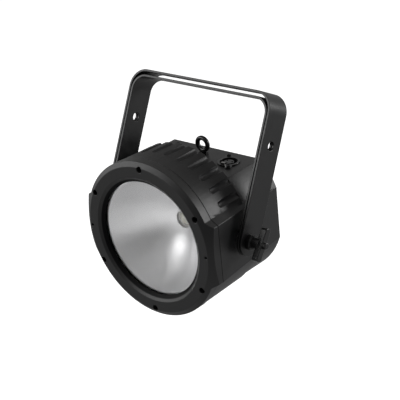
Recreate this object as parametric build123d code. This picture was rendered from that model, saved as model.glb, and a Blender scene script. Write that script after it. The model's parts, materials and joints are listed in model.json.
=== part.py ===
"""Par can stage light with a double yoke, built as an assembly of separate pieces.

Millimetres. +X is the light's right seen from behind the beam, the beam leaves along -Y, +Z is up.
Pieces of the head are drawn with y measured from the bezel's front face and z from the optical axis,
then moved so that the row's origin is the centre of the clamp hole in the outer yoke's top bar.
"""
import math
import os

from build123d import *

os.makedirs("parts", exist_ok=True)

# ---------------------------------------------------------------- clearances
FACE_GAP = 0.1            # between flat faces that slide on each other
RUN_GAP = 0.06            # radial, a shaft that turns in its hole
SCREW_GAP = 0.05          # radial, a screw in its tapped hole
SEAT_GAP = 0.2            # a piece that drops into a recess
HEAD_GAP = 0.6            # radial, a sunk screw head in its counterbore
BUTTON_GAP = 0.3          # a button cap in its window
TIP_GAP = 0.5             # under a screw's tip
FAR = 200.0               # longer than the head in every direction

# ---------------------------------------------------------------- head, outside
BEZEL_R = 107.0
BEZEL_DEPTH = 16.5
BEZEL_FACE_R = 100.5      # flat front ring, outer edge
BEZEL_CHAMFER_DEPTH = 4.5 # depth of the outer chamfer at the full radius
BEZEL_LIP_R = 86.5        # front edge of the inner bevel
LENS_VIEW_R = 78.6        # clear opening in front of the glass
LIP_FRONT_Y = 6.0
LIP_BACK_Y = 7.5
EAR_X = 107.3             # flat sides of the bezel and barrel
EAR_Z = 39.0              # half height of the flat side
FACET_X = 96.8            # where the sloping strip over the flat side meets the round
FACET_Z = 45.4
BOLT_CIRCLE_R = 98.0
BEZEL_BOLTS = 6
BEZEL_SCREW_R = 2.0
BEZEL_HEAD_R = 3.5
BEZEL_HEAD_Y = 5.0
BEZEL_SEAT_Y = 9.0
BEZEL_SCREW_END = 34.0
BEZEL_KEY_AF = 3.0
SIDE_SCREW_R = 97.2       # the small screw on each ear, from the axis
SIDE_SCREW_HEAD_R = 1.7
SIDE_SCREW_SHANK_R = 1.1
SIDE_SCREW_HEAD_Y = 1.2
SIDE_SCREW_SEAT_Y = 3.0
SIDE_SCREW_END = 19.0
SIDE_SCREW_KEY_AF = 1.5

BARREL_R_FRONT = 106.5
BARREL_R_BACK = 105.0
BARREL_TOP_END_Y = 80.0
BARREL_BOTTOM_END_Y = 95.0
BARREL_STEP_Z = -42.0     # below this height the barrel runs on under the rear housing
BARREL_BORE_R = 100.0
SEAM_W = 0.9              # shadow groove where the barrel meets the bezel
SEAM_DEPTH = 1.0
REAR_R = 103.0
REAR_END_Y = 150.0
REAR_SIDE_X = 96.5        # flat sides at the back end
REAR_SIDE_Z = 36.0
REAR_FACET_X = 90.0
REAR_FACET_Z = 40.0
WALL = 3.0
DECK_Z = 71.5             # flat top of the rear housing
DECK_WALL = 3.0
BOSS_R = 5.0              # posts in the barrel for the bezel screws
BOSS_END = BEZEL_SCREW_END + 2.0

# grooves in the top of the barrel
GROOVES = 12
GROOVE_PITCH_DEG = 10.8
GROOVE_FRONT_Y = 38.0
GROOVE_R = 5.5
GROOVE_DEPTH_FRONT = 2.2
GROOVE_DEPTH_BACK = 3.6

# blocks on the side walls that take the screws between barrel, bulkhead and rear housing
TIE_X, TIE_Z = 89.0, 24.0
TIE_HALF = 5.0
TIE_FRONT_Y = BARREL_TOP_END_Y - 18.0
TIE_BACK_Y = BARREL_TOP_END_Y + 12.0
TIE_R = 2.0
TIE_HEAD_R = 3.5
TIE_HEAD = 4.0
TIE_END_Y = BARREL_TOP_END_Y - 14.0
TIE_KEY_AF = 3.0

# ---------------------------------------------------------------- optics
GASKET_R = LENS_VIEW_R + 4.2
GLASS_R = GASKET_R - 0.8
GLASS_THICK = 3.0
GASKET_FRONT = 0.5
GASKET_BACK_Y = LIP_BACK_Y + 4.5
BULKHEAD_Y = BARREL_TOP_END_Y - 2.0
BULKHEAD_THICK = 2.0
BULKHEAD_R = BARREL_BORE_R - 0.6
BULKHEAD_X = 98.4
COB_SIZE = 30.0
COB_THICK = 1.6
COB_FACE_Y = BULKHEAD_Y - COB_THICK
DOME_R = 9.4
DOME_HEIGHT = 5.0
REFLECTOR_MOUTH_R = LENS_VIEW_R - 1.1
REFLECTOR_NECK_R = 12.0
REFLECTOR_NECK_Y = COB_FACE_Y - 3.4
REFLECTOR_WALL = 1.2
REFLECTOR_FLANGE_R = GASKET_R - 0.4
BOWL_STEPS = 16
RETAINER_IN_R = LENS_VIEW_R + 0.8
WEB_HOLE_R = RETAINER_IN_R
HOLDER_R = 28.0
HOLDER_FRONT_Y = COB_FACE_Y - 6.4
HOLDER_NECK_R = 14.5      # cup that the reflector's neck drops into
HOLDER_CUP_R = 25.2
CABLE_SLOT_HALF = 20.0
CABLE_SLOT_Z = (-70.0, -54.0)

# ---------------------------------------------------------------- fan, boards, rear panel
PANEL_THICK = 3.0
PANEL_INSET = 2.0         # depth of the panel's face inside the housing's back edge
PANEL_FRONT_Y = REAR_END_Y - PANEL_INSET - PANEL_THICK
PANEL_SCREW_CIRCLE_R = 96.0
PANEL_SCREW_ANGLES = (-130, -90, -50, 33, 147)
PANEL_TOP_SCREW = (20.0, 64.3)
PANEL_SCREW_R = 1.5
PANEL_HEAD_R = 2.8
PANEL_BOSS_R = 4.5
PANEL_BOSS_Y = PANEL_FRONT_Y - 15.0
PANEL_SCREW_END = PANEL_FRONT_Y - 11.0
PANEL_LEDGE = 6.0
PAN_HEAD = 1.8            # height of a pan head
CROSS_HALF = 1.6          # half length of its cross recess
CROSS_W = 0.8
CROSS_DEPTH = 0.9
FAN_SIZE = 80.0
FAN_DEPTH = 25.0
FAN_SPACER = 2.0
FAN_SPACER_R = 3.4
FAN_FRONT_Y = PANEL_FRONT_Y - FAN_SPACER - FAN_DEPTH
FAN_BORE_R = 38.5
FAN_HOLE_PITCH = 71.5
FAN_Z = 6.0
FAN_SCREW_R = 1.9
FAN_HEAD_R = 3.2
FAN_FLANGE = 4.0
MOTOR_R = 15.0
AXLE_R = 1.5
ROTOR_R = FAN_BORE_R - 1.3
ROTOR_HUB_R = 17.0
ROTOR_BLADES = 7
BLADE_TWIST_DEG = 32.0
BLADE_THICK = 1.6
SINK_R = 42.0
SINK_BASE = 5.0
SINK_PAD_R = 33.0
SINK_BACK_Y = FAN_FRONT_Y - 4.0
FIN_COUNT = 11
FIN_THICK = 2.0
FIN_PITCH = 7.4
SINK_SCREW_R = 38.0
SINK_SCREW_SHANK_R = 1.5
SINK_HEAD_R = 2.8
SINK_HEAD = 2.4
SINK_KEY_AF = 2.5
VENT_SLOTS = 9
VENT_SLOT_W = 3.4
VENT_PITCH = 7.6
VENT_R = 36.5
DRIVER_SIZE = (104.0, 50.0, 28.0)
DRIVER_CENTRE = (0.0, PANEL_FRONT_Y - 33.0, -74.0)
BOARD_SIZE = (70.0, 1.6, 44.0)
BOARD_CENTRE_Z = -66.0
BOARD_FRONT_Y = PANEL_FRONT_Y - 6.6
DISPLAY_W, DISPLAY_H = 44.0, 16.0
DISPLAY_Z = -54.0
BUTTON_W, BUTTON_H = 9.0, 6.0
BUTTON_Z = -74.0
BUTTON_PITCH = 15.0
BUTTON_PROUD = 2.2
BUTTON_TRAVEL = 0.8
BUTTON_FLANGE = 1.2

# ---------------------------------------------------------------- sockets
SOCKET_RIM_R = 15.0
SOCKET_RIM = 1.8
SOCKET_BORE_R = 11.8
SOCKET_BODY_R = 13.6
SOCKET_DEPTH = 22.0
SOCKET_RECESS = 11.0
SOCKET_SCREW_R = 18.5
SOCKET_SCREW_SHANK_R = 1.5
SOCKET_SCREW_HEAD_R = 2.7
SOCKET_SCREW_HEAD = 1.6
SOCKET_SCREW_TIP = 6.0
SOCKET_EAR_R = 4.4
SOCKET_TURN_DEG = 37.5    # line of the two socket screws from the +Y axis towards -X
DMX_X, DMX_Y = 44.0, REAR_END_Y - 29.0
POWER_X, POWER_Z = 66.0, -22.0
CONTACT_R = 1.2
CONTACT_CIRCLE_R = 4.6
PLUG_CORE_R = 6.9
KEY_W = 3.0
LATCH_W = 6.0
LATCH_IN_R = SOCKET_BORE_R - 2.4
LATCH_PROUD = 2.4
LATCH_GAP = 0.3
POWER_CORE_R = 7.2
POWER_BLADE_THICK = 1.2
POWER_BLADE_W = 4.4
FUSE_X, FUSE_Z = -66.0, 22.0
FUSE_R = 7.5
FUSE_RIM_R = 9.7
FUSE_CAP_R = 6.3
FUSE_RIM = 2.4
FUSE_CAP = 6.4
FUSE_DEPTH = 14.0

# ---------------------------------------------------------------- safety eye
EYE_Y = REAR_END_Y - 27.0
EYE_TUBE_R = 3.1
EYE_RING_R = 8.4
EYE_COLLAR_R = 6.5
EYE_COLLAR = 6.0
EYE_SINK = 0.8            # depth of the ring in its collar
EYE_SHANK_R = 3.0
EYE_SHANK = 14.0
EYE_NUT_AF = 10.0
EYE_NUT = 5.0
EYE_WASHER_R = 8.0
EYE_WASHER = 1.2

# ---------------------------------------------------------------- yokes and pivot
PIVOT_Y = 63.0
YOKE_LEAN_DEG = 27.0      # the folded yokes lean back from the head's own vertical
YOKE_WIDTH = 38.0
YOKE_PLATE = 3.0
OUTER_HALF = 117.8        # outside face of the outer yoke
OUTER_TOP = 187.0         # outside face of its top bar, from the pivot
OUTER_BEND_R = 25.0
YOKE_GAP = 1.0            # between the two straps' legs, filled by a washer at the pivot
YOKE_TOP_GAP = 4.2        # between their top bars
INNER_HALF = OUTER_HALF - YOKE_PLATE - YOKE_GAP
INNER_TOP = OUTER_TOP - YOKE_PLATE - YOKE_TOP_GAP
INNER_BEND_R = OUTER_BEND_R - YOKE_PLATE - YOKE_GAP
LEG_HOLE_R = 6.0
LEG_HOLE_H = 122.0
CLAMP_HOLE_R = 5.25       # clearance hole for an M10 clamp bolt
STUD_R = 5.0
STUD_HEAD_R = 9.0
STUD_HEAD = 5.0
INSERT_R = STUD_R + 7.5
INSERT_FLANGE = 2.0
INSERT_FACE_X = INNER_HALF - YOKE_PLATE - FACE_GAP - 1.0
INSERT_BACK_X = 96.0
INSERT_FLANGE_THICK = 3.0
WASHER_R = 14.0

# ---------------------------------------------------------------- locking knobs
KNOB_FLANGE_R = 10.2
KNOB_FLANGE = 5.0
KNOB_NECK_R = 8.2
KNOB_BAR_X = 17.0         # centre of the bar from the yoke's face
KNOB_BAR_LEN = 44.0
KNOB_BAR_W = 10.0
KNOB_BAR_T = 9.0
KNOB_LEAN_DEG = 37.0
KNOB_CAP_R = 4.6
KNOB_CAP = 5.0
KNOB_CAP_PLUG_R = 3.8
KNOB_CAP_PLUG = 2.0
KNOB_NUT_R = STUD_R + 1.0 # brass thread insert in the knob's neck


def export(node, shape):
    """Move a piece into the row frame and write it."""
    placed = TO_ROW * shape
    placed.label = node
    export_step(placed, f"parts/{node}.step")


def cyl_y(radius, y0, y1, x=0.0, z=0.0):
    """Cylinder along Y between two stations."""
    return Pos(x, (y0 + y1) / 2, z) * Rot(X=90) * Cylinder(radius, y1 - y0)


def cyl_x(radius, x0, x1, y=0.0, z=0.0):
    """Cylinder along X between two positions."""
    return Pos((x0 + x1) / 2, y, z) * Rot(Y=90) * Cylinder(radius, x1 - x0)


def cyl_z(radius, z0, z1, x=0.0, y=0.0):
    """Cylinder along Z between two heights."""
    return Pos(x, y, (z0 + z1) / 2) * Cylinder(radius, z1 - z0)


def box(x0, x1, y0, y1, z0, z1):
    """Box between two corners."""
    return Pos((x0 + x1) / 2, (y0 + y1) / 2, (z0 + z1) / 2) * Box(x1 - x0, y1 - y0, z1 - z0)


def revolve_y(points):
    """Solid of revolution about the optical axis from (radius, y) points."""
    face = make_face(Polyline(*[(r, y, 0) for r, y in points], close=True))
    return revolve(face, Axis.Y)


def polar(radius, degrees):
    """X and Z of a point on a circle about the optical axis."""
    return radius * math.cos(math.radians(degrees)), radius * math.sin(math.radians(degrees))


def group(shapes):
    """Identical pieces kept as separate solids in one node."""
    return Compound([solid for shape in shapes for solid in shape.solids()])


def both_sides(shape):
    """A piece and its mirror image across the YZ plane, as separate solids."""
    return group([shape, mirror(shape, Plane.YZ)])


# ================================================================ outer form of the head
def octagon_points(side_x, side_z, facet_x, facet_z):
    """Corners of the flat-sided block, going round."""
    return [
        (side_x, -side_z), (side_x, side_z), (facet_x, facet_z), (-facet_x, facet_z),
        (-side_x, side_z), (-side_x, -side_z), (-facet_x, -facet_z), (facet_x, -facet_z),
    ]


def octagon_face(y, points):
    """The block's outline as a face at one station."""
    return make_face(Polyline(*[(x, y, z) for x, z in points], close=True))


def head_form(shrink):
    """Flat-sided block that narrows to the back, all its walls moved inwards by shrink."""
    front = octagon_points(EAR_X - shrink, EAR_Z - shrink, FACET_X - shrink, FACET_Z - shrink)
    back = octagon_points(
        REAR_SIDE_X - shrink, REAR_SIDE_Z - shrink, REAR_FACET_X - shrink, REAR_FACET_Z - shrink
    )
    return loft([octagon_face(BEZEL_DEPTH, front), octagon_face(REAR_END_Y, back)], ruled=True)


def side_wedge(shrink):
    """Everything between the two tapering side planes."""
    outline = Polyline(
        (-(EAR_X - shrink), BEZEL_DEPTH), (EAR_X - shrink, BEZEL_DEPTH),
        (REAR_SIDE_X - shrink, REAR_END_Y), (-(REAR_SIDE_X - shrink), REAR_END_Y), close=True
    )
    return extrude(make_face(outline), amount=BEZEL_R * 1.2, both=True)


def barrel_round(shrink, end_y):
    """Round part of the barrel, a shallow cone."""
    slope = (BARREL_R_FRONT - BARREL_R_BACK) / (BARREL_TOP_END_Y - BEZEL_DEPTH)
    end_r = BARREL_R_FRONT - slope * (end_y - BEZEL_DEPTH)
    return revolve_y([
        (0, BEZEL_DEPTH), (BARREL_R_FRONT - shrink, BEZEL_DEPTH), (end_r - shrink, end_y), (0, end_y)
    ])


rear_cut_top = box(-FAR, FAR, BARREL_TOP_END_Y, FAR, BARREL_STEP_Z, FAR)
rear_cut_all = box(-FAR, FAR, BARREL_BOTTOM_END_Y, FAR, -FAR, FAR)
behind_top = box(-FAR, FAR, BARREL_TOP_END_Y, REAR_END_Y, -FAR, FAR)

# ================================================================ yoke frame and row frame
yoke_lean = Rot(X=-YOKE_LEAN_DEG)
clamp_h = OUTER_TOP - YOKE_PLATE / 2
clamp_y = PIVOT_Y + clamp_h * math.sin(math.radians(YOKE_LEAN_DEG))
clamp_z = clamp_h * math.cos(math.radians(YOKE_LEAN_DEG))
TO_ROW = Pos(0, -clamp_y, -clamp_z)


def from_yoke(shape):
    """Place a piece drawn upright about the pivot."""
    return Pos(0, PIVOT_Y, 0) * yoke_lean * shape


# ================================================================ bezel
bezel_angles = [90 + i * 360 / BEZEL_BOLTS for i in range(BEZEL_BOLTS)]
ear_block = extrude(
    octagon_face(0, octagon_points(EAR_X, EAR_Z, FACET_X, FACET_Z)), amount=BEZEL_DEPTH, dir=(0, 1, 0)
)
chamfer_slope = (BEZEL_R - BEZEL_FACE_R) / BEZEL_CHAMFER_DEPTH
chamfer_cone = revolve_y([
    (0, 0), (BEZEL_FACE_R, 0), (BEZEL_FACE_R + chamfer_slope * BEZEL_DEPTH, BEZEL_DEPTH), (0, BEZEL_DEPTH)
])
bezel_bore = revolve_y([
    (0, 0), (BEZEL_LIP_R, 0), (LENS_VIEW_R, LIP_FRONT_Y), (LENS_VIEW_R, LIP_BACK_Y),
    (GASKET_R + SEAT_GAP, LIP_BACK_Y), (GASKET_R + SEAT_GAP, BEZEL_DEPTH), (0, BEZEL_DEPTH)
])
bezel = ((cyl_y(BEZEL_R, 0, BEZEL_DEPTH) + ear_block) & chamfer_cone) - bezel_bore
for angle in bezel_angles:
    x, z = polar(BOLT_CIRCLE_R, angle)
    bezel -= cyl_y(BEZEL_HEAD_R + HEAD_GAP, 0, BEZEL_SEAT_Y, x, z)
    bezel -= cyl_y(BEZEL_SCREW_R + SCREW_GAP, 0, BEZEL_DEPTH, x, z)
for side in (1, -1):
    bezel -= cyl_y(SIDE_SCREW_HEAD_R + HEAD_GAP / 2, 0, SIDE_SCREW_SEAT_Y, side * SIDE_SCREW_R)
    bezel -= cyl_y(SIDE_SCREW_SHANK_R + SCREW_GAP, 0, BEZEL_DEPTH, side * SIDE_SCREW_R)
export("front_bezel", bezel)


def cap_screw(shank_r, head_r, y_head, y_seat, y_end, x, z, key_af):
    """Socket head screw along +Y with a hexagon recess in its head."""
    screw = cyl_y(head_r, y_head, y_seat, x, z) + cyl_y(shank_r, y_seat, y_end, x, z)
    key = extrude(RegularPolygon(key_af / math.sqrt(3), 6), amount=(y_seat - y_head) * 0.6)
    return screw - Pos(x, y_head, z) * Rot(X=-90) * key


export("bezel_screws", group(
    cap_screw(BEZEL_SCREW_R, BEZEL_HEAD_R, BEZEL_HEAD_Y, BEZEL_SEAT_Y, BEZEL_SCREW_END, x, z,
              BEZEL_KEY_AF)
    for x, z in (polar(BOLT_CIRCLE_R, angle) for angle in bezel_angles)
))
export("bezel_side_screws", group(
    cap_screw(SIDE_SCREW_SHANK_R, SIDE_SCREW_HEAD_R, SIDE_SCREW_HEAD_Y, SIDE_SCREW_SEAT_Y, SIDE_SCREW_END,
              side * SIDE_SCREW_R, 0, SIDE_SCREW_KEY_AF)
    for side in (1, -1)
))

# ================================================================ barrel
barrel_outer = (barrel_round(0, BARREL_BOTTOM_END_Y) & side_wedge(0)) + head_form(0)
barrel_outer = barrel_outer - rear_cut_top - rear_cut_all
seam_core = (barrel_round(SEAM_DEPTH, BARREL_BOTTOM_END_Y) & side_wedge(SEAM_DEPTH)) + head_form(SEAM_DEPTH)
barrel_outer -= box(-FAR, FAR, 0, BEZEL_DEPTH + SEAM_W, -FAR, FAR) - seam_core
barrel_inner = cyl_y(BARREL_BORE_R, BEZEL_DEPTH + WALL, FAR) & side_wedge(WALL)
barrel_inner += head_form(WALL) & box(-FAR, FAR, BEZEL_DEPTH + WALL, FAR, -FAR, FAR)
barrel = barrel_outer - barrel_inner - cyl_y(WEB_HOLE_R, 0, BEZEL_DEPTH + WALL)
# the crown stands over the deck, so its back is closed by a wall
crown_wall_z = DECK_Z - DECK_WALL
barrel += barrel_outer & box(-FAR, FAR, BARREL_TOP_END_Y - WALL, BARREL_TOP_END_Y, crown_wall_z, FAR)

for angle in bezel_angles:
    x, z = polar(BOLT_CIRCLE_R, angle)
    boss = cyl_y(BOSS_R, BEZEL_DEPTH, BOSS_END, x, z) & barrel_round(1.0, BARREL_BOTTOM_END_Y)
    barrel += boss
for angle in bezel_angles:
    x, z = polar(BOLT_CIRCLE_R, angle)
    barrel -= cyl_y(BEZEL_SCREW_R + SCREW_GAP, 0, BEZEL_SCREW_END + TIP_GAP, x, z)
for side in (1, -1):
    barrel -= cyl_y(SIDE_SCREW_SHANK_R + SCREW_GAP, 0, BEZEL_DEPTH + WALL, side * SIDE_SCREW_R)


def tie_block(y0, y1, side, height):
    """Block between the tie screw and the side wall."""
    block = box(TIE_X - TIE_HALF, EAR_X, y0, y1, height - TIE_HALF, height + TIE_HALF)
    if side < 0:
        block = mirror(block, Plane.YZ)
    return block & side_wedge(1.0)


tie_spots = [(side, up * TIE_Z) for side in (1, -1) for up in (1, -1)]
for side, height in tie_spots:
    barrel += tie_block(TIE_FRONT_Y, BULKHEAD_Y, side, height)
for side, height in tie_spots:
    barrel -= cyl_y(TIE_R + SCREW_GAP, TIE_END_Y - TIP_GAP, BULKHEAD_Y, side * TIE_X, height)

# the pivot inserts pass through the flat sides
insert_hole = cyl_x(INSERT_R + SEAT_GAP / 2, TIE_X, FAR, PIVOT_Y)
barrel = barrel - insert_hole - mirror(insert_hole, Plane.YZ)

# rounded grooves fanned over the top, deeper towards the back edge
groove_ref_r = BARREL_R_FRONT - 0.5
front_axis_r = groove_ref_r + GROOVE_R - GROOVE_DEPTH_FRONT
back_axis_r = BARREL_R_BACK + GROOVE_R - GROOVE_DEPTH_BACK
groove_start = Vector(0, GROOVE_FRONT_Y + GROOVE_R, front_axis_r)
groove_end = Vector(0, BARREL_TOP_END_Y + 10, back_axis_r)
groove_run = groove_end - groove_start
groove_plane = Plane(origin=groove_start, z_dir=groove_run)
groove_tool = extrude(groove_plane * Circle(GROOVE_R), amount=groove_run.length)
groove_tool += Pos(*groove_start) * Sphere(GROOVE_R)
for i in range(GROOVES):
    turn = (i - (GROOVES - 1) / 2) * GROOVE_PITCH_DEG
    barrel -= Rot(Y=turn) * groove_tool
export("barrel", barrel)

# ================================================================ lens, gasket, reflector, light engine
glass_y = LIP_BACK_Y + GASKET_FRONT
export("lens_glass", cyl_y(GLASS_R, glass_y, glass_y + GLASS_THICK))
gasket = revolve_y([
    (LENS_VIEW_R + 0.6, LIP_BACK_Y), (GASKET_R, LIP_BACK_Y), (GASKET_R, GASKET_BACK_Y),
    (RETAINER_IN_R, GASKET_BACK_Y), (RETAINER_IN_R, glass_y + GLASS_THICK), (GLASS_R, glass_y + GLASS_THICK),
    (GLASS_R, glass_y), (LENS_VIEW_R + 0.6, glass_y)
])
export("lens_gasket", gasket)


def bowl_radius(y):
    """Inside radius of the parabolic bowl."""
    fraction = (REFLECTOR_NECK_Y - y) / (REFLECTOR_NECK_Y - GASKET_BACK_Y)
    return math.sqrt(REFLECTOR_NECK_R ** 2 + (REFLECTOR_MOUTH_R ** 2 - REFLECTOR_NECK_R ** 2) * fraction)


stations = [
    GASKET_BACK_Y + (REFLECTOR_NECK_Y - GASKET_BACK_Y) * (1 - (1 - i / BOWL_STEPS) ** 2)
    for i in range(BOWL_STEPS + 1)
]
inside = [(bowl_radius(y), y, 0) for y in stations]
outside = [(r + REFLECTOR_WALL * 0.8, y + REFLECTOR_WALL, 0) for r, y, _ in inside]
bowl_edge = [
    Spline(*inside),
    Line(inside[-1], outside[-1]),
    Spline(*reversed(outside)),
    Line(outside[0], (REFLECTOR_FLANGE_R, outside[0][1], 0)),
    Line((REFLECTOR_FLANGE_R, outside[0][1], 0), (REFLECTOR_FLANGE_R, GASKET_BACK_Y, 0)),
    Line((REFLECTOR_FLANGE_R, GASKET_BACK_Y, 0), inside[0]),
]
reflector = revolve(make_face(Wire(bowl_edge)), Axis.Y)
export("reflector", reflector)
flange_back = GASKET_BACK_Y + REFLECTOR_WALL
export("reflector_retainer", revolve_y([
    (RETAINER_IN_R, flange_back), (GASKET_R, flange_back), (GASKET_R, BEZEL_DEPTH),
    (RETAINER_IN_R, BEZEL_DEPTH)
]))
neck_end_y = REFLECTOR_NECK_Y + REFLECTOR_WALL
export("reflector_holder", revolve_y([
    (HOLDER_CUP_R, HOLDER_FRONT_Y), (HOLDER_R, HOLDER_FRONT_Y), (HOLDER_R, COB_FACE_Y),
    (HOLDER_NECK_R, COB_FACE_Y), (HOLDER_NECK_R, neck_end_y)
]))
export("cob_board", box(-COB_SIZE / 2, COB_SIZE / 2, COB_FACE_Y, COB_FACE_Y + COB_THICK,
                        -COB_SIZE / 2, COB_SIZE / 2))
dome_sphere_r = (DOME_R ** 2 + DOME_HEIGHT ** 2) / (2 * DOME_HEIGHT)
dome = Pos(0, COB_FACE_Y - DOME_HEIGHT + dome_sphere_r, 0) * Sphere(dome_sphere_r)
dome &= cyl_y(DOME_R + 1, 0, COB_FACE_Y)
export("cob_dome", dome)

bulkhead = cyl_y(BULKHEAD_R, BULKHEAD_Y, BULKHEAD_Y + BULKHEAD_THICK)
bulkhead &= box(-BULKHEAD_X, BULKHEAD_X, 0, FAR, -FAR, crown_wall_z - SEAT_GAP)
bulkhead -= cyl_y(SINK_PAD_R + SEAT_GAP, 0, FAR)
for side, height in tie_spots:
    bulkhead -= cyl_y(TIE_R + SCREW_GAP, 0, FAR, side * TIE_X, height)
sink_spots = [polar(SINK_SCREW_R, 45 + 90 * i) for i in range(4)]
for x, z in sink_spots:
    bulkhead -= cyl_y(SINK_SCREW_SHANK_R + SCREW_GAP, 0, FAR, x, z)
bulkhead -= box(-CABLE_SLOT_HALF, CABLE_SLOT_HALF, 0, FAR, *CABLE_SLOT_Z)
export("bulkhead", bulkhead)

sink_front = BULKHEAD_Y + BULKHEAD_THICK
sink = cyl_y(SINK_R, sink_front, sink_front + SINK_BASE) + cyl_y(SINK_PAD_R, BULKHEAD_Y, sink_front)
fins = [
    box((i - FIN_COUNT // 2) * FIN_PITCH - FIN_THICK / 2, (i - FIN_COUNT // 2) * FIN_PITCH + FIN_THICK / 2,
        sink_front, SINK_BACK_Y, -SINK_R, SINK_R)
    for i in range(FIN_COUNT)
]
for fin in fins:
    sink += fin & cyl_y(SINK_R, sink_front, SINK_BACK_Y)
for x, z in sink_spots:
    sink -= cyl_y(SINK_SCREW_SHANK_R + SCREW_GAP, sink_front, sink_front + SINK_BASE, x, z)
export("heatsink", sink)
export("heatsink_screws", group(
    cap_screw(SINK_SCREW_SHANK_R, SINK_HEAD_R, BULKHEAD_Y - SINK_HEAD, BULKHEAD_Y,
              sink_front + SINK_BASE - TIP_GAP, x, z, SINK_KEY_AF)
    for x, z in sink_spots
))

# ================================================================ rear housing
rear_outer = (cyl_y(REAR_R, BARREL_TOP_END_Y, REAR_END_Y) & side_wedge(0)) + (head_form(0) & behind_top)
rear_outer -= box(-FAR, FAR, 0, FAR, DECK_Z, FAR)
rear_outer -= box(-FAR, FAR, 0, BARREL_BOTTOM_END_Y, -FAR, BARREL_STEP_Z)
rear_inner_r = REAR_R - WALL
rear_inner = cyl_y(rear_inner_r, 0, FAR) & side_wedge(WALL)
rear_inner += head_form(WALL) & box(-FAR, FAR, BARREL_TOP_END_Y - 1, REAR_END_Y, -FAR, FAR)
rear_inner -= box(-FAR, FAR, 0, FAR, DECK_Z - DECK_WALL, FAR)
rear = rear_outer - rear_inner
# the ledge that the rear panel rests on
ledge = rear_inner & box(-FAR, FAR, PANEL_FRONT_Y - 4, PANEL_FRONT_Y, -FAR, FAR)
ledge_hole = cyl_y(rear_inner_r - PANEL_LEDGE, 0, FAR) & side_wedge(WALL + PANEL_LEDGE)
ledge_hole -= box(-FAR, FAR, 0, FAR, DECK_Z - DECK_WALL - PANEL_LEDGE, FAR)
rear += ledge - ledge_hole

for side, height in tie_spots:
    rear += tie_block(sink_front, TIE_BACK_Y, side, height)
for side, height in tie_spots:
    rear -= cyl_y(TIE_R + SCREW_GAP, 0, TIE_BACK_Y, side * TIE_X, height)

panel_spots = [polar(PANEL_SCREW_CIRCLE_R, angle) for angle in PANEL_SCREW_ANGLES]
panel_spots += [(side * PANEL_TOP_SCREW[0], PANEL_TOP_SCREW[1]) for side in (1, -1)]
for x, z in panel_spots:
    rear += cyl_y(PANEL_BOSS_R, PANEL_BOSS_Y, PANEL_FRONT_Y, x, z) & rear_outer
for x, z in panel_spots:
    rear -= cyl_y(PANEL_SCREW_R + SCREW_GAP, PANEL_SCREW_END - TIP_GAP, FAR, x, z)


def socket_hole(radius):
    """Clearance for a socket body, along the socket's axis."""
    return cyl_z(radius, -SOCKET_DEPTH * 2, SOCKET_DEPTH * 2)


socket_turn = Rot(Z=SOCKET_TURN_DEG)
dmx_seats = [Pos(side * DMX_X, DMX_Y, DECK_Z) for side in (1, -1)]
power_seats = [
    Pos(side * POWER_X, PANEL_FRONT_Y + PANEL_THICK, POWER_Z) * Rot(X=-90) for side in (1, -1)
]
socket_screw_local = [(0, SOCKET_SCREW_R), (0, -SOCKET_SCREW_R)]
for seat in dmx_seats:
    rear -= seat * socket_hole(SOCKET_BODY_R + SEAT_GAP)
    for x, y in socket_screw_local:
        rear -= seat * socket_turn * cyl_z(SOCKET_SCREW_SHANK_R + SCREW_GAP, -DECK_WALL * 2, DECK_WALL, x, y)
rear -= cyl_z(EYE_SHANK_R + SCREW_GAP, DECK_Z - DECK_WALL * 2, DECK_Z, 0, EYE_Y)
export("rear_housing", rear)

export("tie_screws", group(
    cap_screw(TIE_R, TIE_HEAD_R, -TIE_BACK_Y - TIE_HEAD, -TIE_BACK_Y, -TIE_END_Y, side * TIE_X, height,
              TIE_KEY_AF)
    .rotate(Axis.Z, 180).mirror(Plane.YZ)
    for side, height in tie_spots
))

# ================================================================ rear panel
panel_profile = cyl_y(rear_inner_r - SEAT_GAP, PANEL_FRONT_Y, PANEL_FRONT_Y + PANEL_THICK)
panel_profile &= side_wedge(WALL + SEAT_GAP)
panel = panel_profile - box(-FAR, FAR, 0, FAR, DECK_Z - DECK_WALL - SEAT_GAP, FAR)
for x, z in panel_spots:
    panel -= cyl_y(PANEL_SCREW_R + SCREW_GAP, 0, FAR, x, z)
vent_disc = cyl_y(VENT_R, 0, FAR, 0, FAN_Z)
for i in range(VENT_SLOTS):
    slot_z = FAN_Z + (i - VENT_SLOTS // 2) * VENT_PITCH
    slot = box(-VENT_R, VENT_R, PANEL_FRONT_Y - 1, FAR, slot_z - VENT_SLOT_W / 2, slot_z + VENT_SLOT_W / 2)
    bridge = box(-2, 2, 0, FAR, -FAR, FAR)
    panel -= (slot & vent_disc) - bridge
fan_spots = [(sx * FAN_HOLE_PITCH / 2, FAN_Z + sz * FAN_HOLE_PITCH / 2) for sx in (1, -1) for sz in (1, -1)]
for x, z in fan_spots:
    panel -= cyl_y(FAN_SCREW_R + SCREW_GAP, 0, FAR, x, z)
for seat in power_seats:
    panel -= seat * socket_hole(SOCKET_BODY_R + SEAT_GAP)
    for x, y in socket_screw_local:
        panel -= seat * socket_turn * cyl_z(SOCKET_SCREW_SHANK_R + SCREW_GAP, -FAR / 8, FAR / 8, x, y)
panel -= cyl_y(FUSE_R + SEAT_GAP, 0, FAR, FUSE_X, FUSE_Z)
panel -= box(-DISPLAY_W / 2, DISPLAY_W / 2, 0, FAR, DISPLAY_Z - DISPLAY_H / 2, DISPLAY_Z + DISPLAY_H / 2)
button_xs = [(i - 1.5) * BUTTON_PITCH for i in range(4)]
for x in button_xs:
    half_w = BUTTON_W / 2 + BUTTON_GAP
    half_h = BUTTON_H / 2 + BUTTON_GAP
    panel -= box(x - half_w, x + half_w, 0, FAR, BUTTON_Z - half_h, BUTTON_Z + half_h)
export("rear_panel", panel)

panel_back = PANEL_FRONT_Y + PANEL_THICK


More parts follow.
